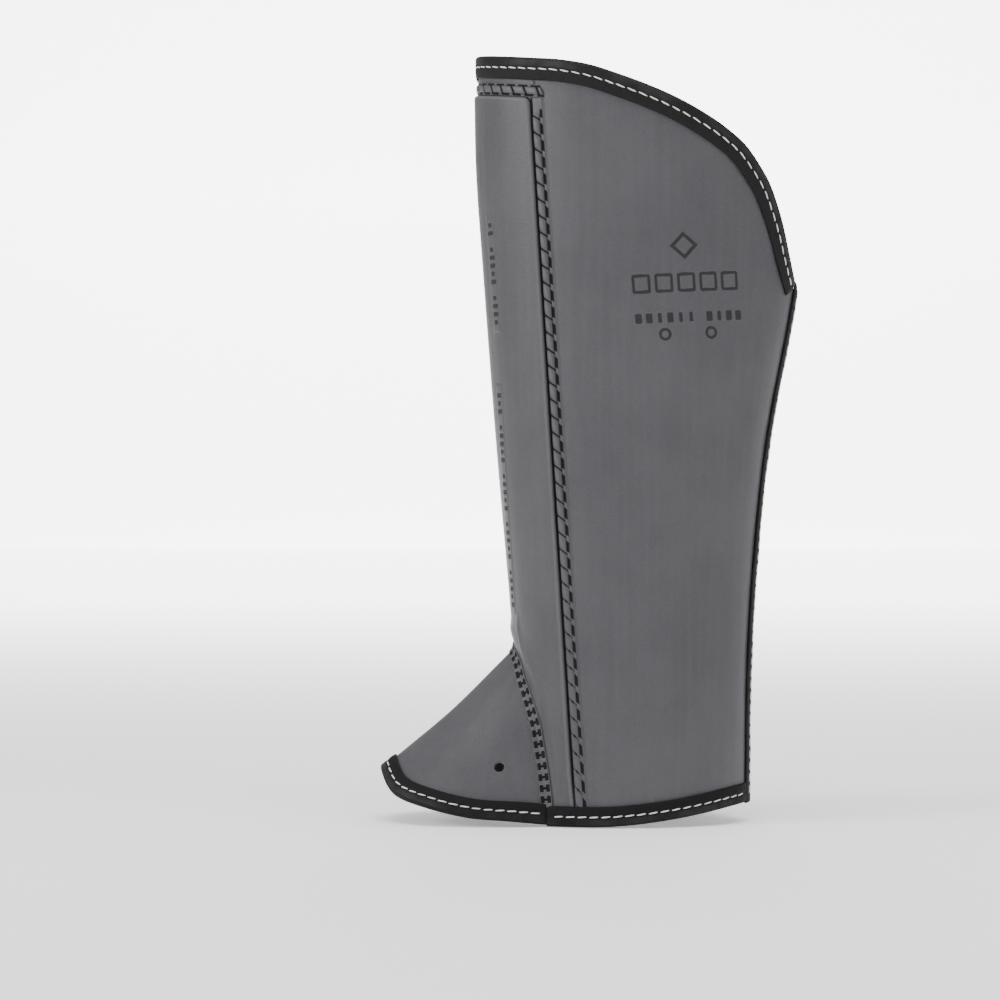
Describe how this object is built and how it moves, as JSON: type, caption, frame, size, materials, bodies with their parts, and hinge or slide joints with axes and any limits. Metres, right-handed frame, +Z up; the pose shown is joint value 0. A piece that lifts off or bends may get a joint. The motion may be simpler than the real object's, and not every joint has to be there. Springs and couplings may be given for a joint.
{
  "type": "forestry leg guard",
  "caption": "Below-knee forestry leg guard: welded laminate wrap with a splint pocket over the shin, an instep flap, bound and stitched edges, and a hook-and-loop closure at the rear.",
  "frame": {"origin": "centre of the part's footprint, at the level of the hem it stands on", "axes": "+Z up the shin, -X towards the toe, -Y the wearer's left side of this guard"},
  "size_m": [0.2303, 0.119, 0.4204],
  "materials": {
    "shell_laminate": "satin grained laminate",
    "pocket_laminate": "satin grained laminate",
    "lining_cloth": "matte knit",
    "binding_tape": "matte coated tape",
    "thread": "matte",
    "splint_plastic": "smooth",
    "hook_tape": "fine hooks",
    "loop_tape": "brushed loops"
  },
  "bodies": {
    "shin_front": {"front_shell": "shell_laminate", "front_lining": "lining_cloth", "pocket_cover": "pocket_laminate", "splint_lateral": "splint_plastic", "splint_centre": "splint_plastic", "splint_medial": "splint_plastic", "top_binding_front": "binding_tape", "top_thread_front": "thread", "hem_binding_front_lateral": "binding_tape", "hem_thread_front_lateral": "thread", "hem_binding_front_medial": "binding_tape", "hem_thread_front_medial": "thread"},
    "lateral_wing": {"lateral_shell": "shell_laminate", "lateral_lining": "lining_cloth", "lateral_top_binding": "binding_tape", "lateral_top_thread": "thread", "lateral_hem_binding": "binding_tape", "lateral_hem_thread": "thread", "lateral_rear_binding": "binding_tape", "lateral_rear_thread": "thread", "hook_strip": "hook_tape"},
    "medial_wing": {"medial_shell": "shell_laminate", "medial_lining": "lining_cloth", "medial_top_binding": "binding_tape", "medial_top_thread": "thread", "medial_hem_binding": "binding_tape", "medial_hem_thread": "thread", "medial_rear_binding": "binding_tape", "medial_rear_thread": "thread", "loop_strip": "loop_tape"},
    "instep_flap": {"flap_shell": "shell_laminate", "flap_lining": "lining_cloth", "flap_binding": "binding_tape", "flap_thread": "thread"}
  },
  "joints": [
    {"name": "lateral_fold", "type": "hinge", "parent": "shin_front", "child": "lateral_wing", "pos_m": [-0.00626, -0.04714, 0.011], "axis": [0.0628, -0.0066, -0.998], "range_deg": [0, 60]},
    {"name": "medial_fold", "type": "hinge", "parent": "shin_front", "child": "medial_wing", "pos_m": [-0.00626, 0.04714, 0.011], "axis": [-0.0628, -0.0066, 0.998], "range_deg": [0, 40]},
    {"name": "instep_lift", "type": "hinge", "parent": "shin_front", "child": "instep_flap", "pos_m": [-0.0413, 0, 0.094], "axis": [0, 1, 0], "range_deg": [0, 10]}
  ],
  "couplings": [
    {"joint": "medial_fold", "follows": "lateral_fold", "ratio": 0.6}
  ]
}
